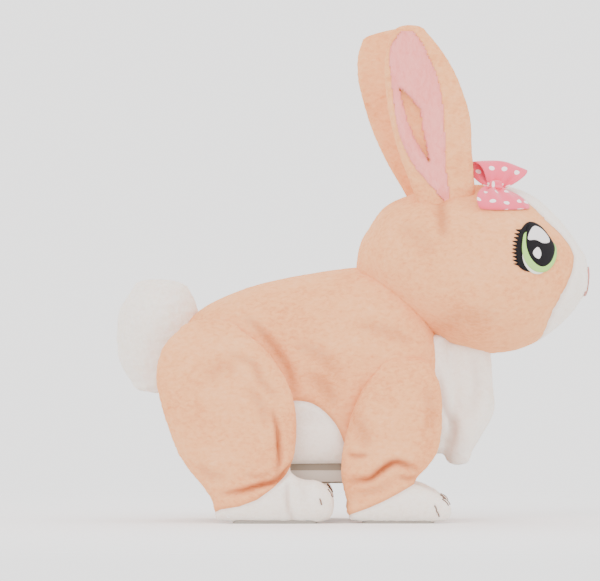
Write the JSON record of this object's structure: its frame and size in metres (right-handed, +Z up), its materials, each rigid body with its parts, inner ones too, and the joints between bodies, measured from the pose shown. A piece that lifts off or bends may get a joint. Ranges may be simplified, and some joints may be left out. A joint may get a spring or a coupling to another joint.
{
  "type": "interactive plush pet",
  "caption": "Battery-driven plush rabbit that rocks forward on its four feet and lays its ears back.",
  "frame": {"origin": "on the floor, under the middle of the bounding box", "axes": "+X the way the rabbit faces, +Y its left side, +Z up"},
  "size_m": [0.316, 0.1366, 0.332],
  "materials": {
    "tan_plush": "short tan plush pile",
    "white_plush": "short cream-white plush pile",
    "pink_lining": "pink velour lining",
    "nose_thread": "pink satin stitch",
    "eye_embroidery": "black, green and white satin-stitch embroidery",
    "ribbon": "coral satin ribbon with white ovals",
    "base_plastic": "fine-textured taupe ABS",
    "frame_plastic": "natural white ABS",
    "gear_plastic": "natural acetal",
    "switch_plastic": "black ABS",
    "sole_rubber": "grey-brown anti-slip rubber",
    "steel": "bright steel",
    "cell_wrap": "plain dark blue cell wrap",
    "board": "green circuit board",
    "speaker": "black paper cone in a steel basket"
  },
  "bodies": {
    "torso": {"torso_cover": "tan_plush", "belly_panel": "white_plush", "chest_bib": "white_plush", "tail": "white_plush", "head_cover": "tan_plush", "face_panel": "white_plush", "nose": "nose_thread", "eye_left": "eye_embroidery", "eye_right": "eye_embroidery", "bow": "ribbon", "chassis_left": "frame_plastic", "chassis_right": "frame_plastic", "gear_axles": "steel", "neck_post": "frame_plastic", "battery_housing": "base_plastic", "batteries": "cell_wrap", "battery_contacts": "steel", "switch_body": "switch_plastic", "circuit_board": "board", "speaker": "speaker", "drive_motor": "steel", "button_spring": "steel", "skull_left": "frame_plastic", "skull_right": "frame_plastic", "casing_screws": "steel", "ear_bracket": "frame_plastic", "ear_motor": "steel"},
    "hind_legs": {"hip_shaft": "steel", "rocker": "gear_plastic", "hind_leg_frames": "frame_plastic", "thigh_left": "tan_plush", "thigh_right": "tan_plush", "hind_foot_left": "white_plush", "hind_foot_right": "white_plush", "hind_soles": "sole_rubber"},
    "front_legs": {"shoulder_shaft": "steel", "shoulder_arm": "gear_plastic", "front_leg_frames": "frame_plastic", "front_leg_left": "tan_plush", "front_leg_right": "tan_plush", "front_paw_left": "white_plush", "front_paw_right": "white_plush", "front_soles": "sole_rubber"},
    "link_rod": {"link_rod": "gear_plastic"},
    "crank": {"crank_gear": "gear_plastic"},
    "gear_two": {"gear_two": "gear_plastic"},
    "gear_one": {"gear_one": "gear_plastic"},
    "motor_pinion": {"motor_pinion": "gear_plastic"},
    "ears": {"ear_shaft": "steel", "ear_sector_gear": "gear_plastic", "ear_cores": "frame_plastic", "ear_cover_left": "tan_plush", "ear_cover_right": "tan_plush", "ear_lining_left": "pink_lining", "ear_lining_right": "pink_lining"},
    "ear_pinion": {"ear_pinion": "gear_plastic"},
    "battery_door": {"battery_door": "base_plastic", "door_screw": "steel"},
    "switch_knob": {"switch_knob": "switch_plastic"},
    "back_button": {"back_button": "switch_plastic"}
  },
  "joints": [
    {"name": "hind_leg_swing", "type": "hinge", "parent": "torso", "child": "hind_legs", "pos_m": [-0.081, 0, 0.076], "axis": [0, 1, 0], "range_deg": [-10, 10]},
    {"name": "front_leg_swing", "type": "hinge", "parent": "torso", "child": "front_legs", "pos_m": [0.026, 0, 0.065], "axis": [0, 1, 0], "range_deg": [-10, 10]},
    {"name": "link_rod_pivot", "type": "hinge", "parent": "hind_legs", "child": "link_rod", "pos_m": [-0.081, 0, 0.088], "axis": [0, 1, 0], "range_deg": [-10, 10]},
    {"name": "crank_spin", "type": "hinge", "parent": "torso", "child": "crank", "pos_m": [-0.06, 0, 0.092], "axis": [0, 1, 0], "continuous": true},
    {"name": "gear_two_spin", "type": "hinge", "parent": "torso", "child": "gear_two", "pos_m": [-0.03794, 0, 0.09589], "axis": [0, 1, 0], "continuous": true},
    {"name": "gear_one_spin", "type": "hinge", "parent": "torso", "child": "gear_one", "pos_m": [-0.01881, 0, 0.09422], "axis": [0, 1, 0], "continuous": true},
    {"name": "motor_pinion_spin", "type": "hinge", "parent": "torso", "child": "motor_pinion", "pos_m": [-0.00077, 0, 0.10078], "axis": [0, 1, 0], "continuous": true},
    {"name": "ear_swing", "type": "hinge", "parent": "torso", "child": "ears", "pos_m": [0.058, 0, 0.196], "axis": [0, 1, 0], "range_deg": [-44, 0]},
    {"name": "ear_pinion_spin", "type": "hinge", "parent": "torso", "child": "ear_pinion", "pos_m": [0.07052, 0, 0.17939], "axis": [0, 1, 0], "range_deg": [-0.01, 146.68]},
    {"name": "battery_door_lift", "type": "slide", "parent": "torso", "child": "battery_door", "axis": [0, 0, -1], "range_m": [0, 0.03]},
    {"name": "power_switch_slide", "type": "slide", "parent": "torso", "child": "switch_knob", "axis": [0, 1, 0], "range_m": [-0.003, 0.003]},
    {"name": "back_button_press", "type": "slide", "parent": "torso", "child": "back_button", "axis": [0, 0, -1], "range_m": [0, 0.002], "stiffness_N_per_m": 400, "springref_m": -0.001, "deforming": ["button_spring"]}
  ],
  "couplings": [
    {"joint": "front_leg_swing", "follows": "hind_leg_swing", "ratio": 1},
    {"joint": "link_rod_pivot", "follows": "hind_leg_swing", "ratio": -1},
    {"joint": "gear_two_spin", "follows": "crank_spin", "ratio": -3.6667},
    {"joint": "gear_one_spin", "follows": "crank_spin", "ratio": 11},
    {"joint": "motor_pinion_spin", "follows": "crank_spin", "ratio": -33},
    {"joint": "ear_pinion_spin", "follows": "ear_swing", "ratio": -3.3333}
  ]
}
